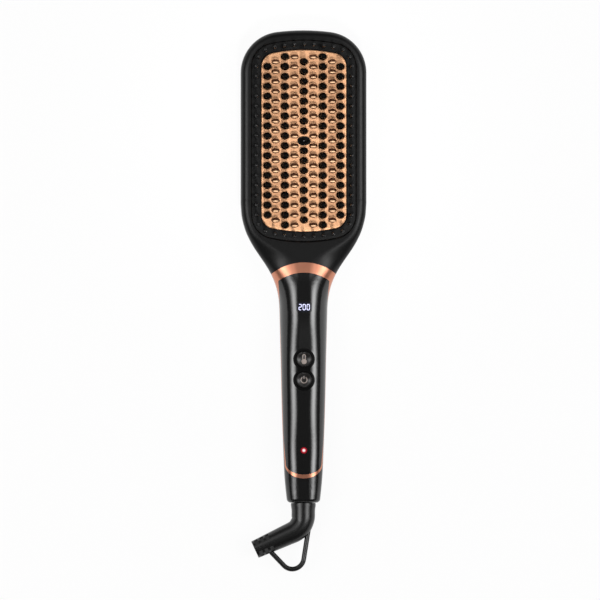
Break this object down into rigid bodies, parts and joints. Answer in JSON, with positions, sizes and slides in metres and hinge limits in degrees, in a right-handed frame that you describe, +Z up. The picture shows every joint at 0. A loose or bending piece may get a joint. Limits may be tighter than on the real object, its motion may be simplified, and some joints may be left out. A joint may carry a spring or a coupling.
{
  "type": "heated styling brush",
  "caption": "Flat paddle hair brush with a heated toothed plate, bristles through it, a handle with a digit display and push buttons, and a swivelling cord boot.",
  "frame": {"origin": "middle of the length and width, on the surface that the brush lies on with its bristles up", "axes": "+X to the right seen from the bristle side, +Y along the handle towards the head, +Z up through the bristles"},
  "size_m": [0.0766, 0.3299, 0.0356],
  "materials": {
    "casing_black": "moulded, matte soft-touch paint",
    "panel_black": "moulded, semi-gloss",
    "bezel_black": "moulded, polished",
    "button_black": "moulded, satin",
    "rose_gold": "vacuum metallised, rose gold",
    "plate_coating": "die-cast aluminium with a rose gold ceramic coat",
    "bristle_black": "moulded nylon",
    "window_smoke": "smoked, polished",
    "lens_red": "tinted, polished",
    "boot_black": "moulded soft PVC",
    "screw_steel": "zinc plated",
    "inner_steel": "pressed sheet",
    "heater_ceramic": "ceramic in polyimide film",
    "pad_silicone": "silicone foam",
    "sheet_mica": "pressed mica",
    "component_grey": "moulded epoxy",
    "board_green": "glass-epoxy laminate",
    "display_grey": "moulded",
    "contact_brass": "turned",
    "swivel_nylon": "moulded nylon",
    "lead_red": "silicone sleeve"
  },
  "bodies": {
    "case": {"back_shell": "casing_black", "front_shell": "casing_black", "trim_frame": "rose_gold", "control_panel": "panel_black", "case_screws": "screw_steel", "guard_comb_left": "bristle_black", "guard_comb_right": "bristle_black", "guard_comb_head": "bristle_black", "guard_comb_neck": "bristle_black", "heating_plate": "plate_coating", "heater_pads": "pad_silicone", "retainer_plate": "inner_steel", "retainer_screws": "screw_steel", "insulation_sheet": "sheet_mica", "thermal_fuse": "inner_steel", "thermistor": "component_grey", "ion_outlet": "bristle_black", "ion_needle": "inner_steel", "ion_module": "component_grey", "ion_lead": "lead_red", "display_window": "window_smoke", "button_bezel": "bezel_black", "indicator_lens": "lens_red", "control_board": "board_green", "digit_display": "display_grey", "mode_switch": "component_grey", "power_switch": "component_grey", "indicator_led": "lens_red", "power_board": "board_green", "mains_capacitor": "component_grey", "triac": "component_grey", "heater_leads": "lead_red", "mains_leads": "lead_red", "contact_block": "swivel_nylon", "brush_contacts": "contact_brass", "bristle_strip_1": "bristle_black", "bristle_strip_2": "bristle_black", "bristle_strip_3": "bristle_black", "bristle_strip_4": "bristle_black", "bristle_strip_5": "bristle_black", "ptc_heater_1": "heater_ceramic", "ptc_heater_2": "heater_ceramic", "ptc_heater_3": "heater_ceramic", "ptc_heater_4": "heater_ceramic"},
    "mode_button": {"mode_button": "button_black"},
    "power_button": {"power_button": "button_black"},
    "cord_swivel": {"swivel_core": "swivel_nylon", "slip_rings": "contact_brass", "cord_boot": "boot_black", "hang_loop": "boot_black"}
  },
  "joints": [
    {"name": "mode_press", "type": "slide", "parent": "case", "child": "mode_button", "axis": [0, 0, -1], "range_m": [0, 0.0006], "stiffness_N_per_m": 1500},
    {"name": "power_press", "type": "slide", "parent": "case", "child": "power_button", "axis": [0, 0, -1], "range_m": [0, 0.0006], "stiffness_N_per_m": 1500},
    {"name": "cord_turn", "type": "hinge", "parent": "case", "child": "cord_swivel", "pos_m": [0, -0.1222, 0.0095], "axis": [0, 1, 0], "continuous": true}
  ]
}
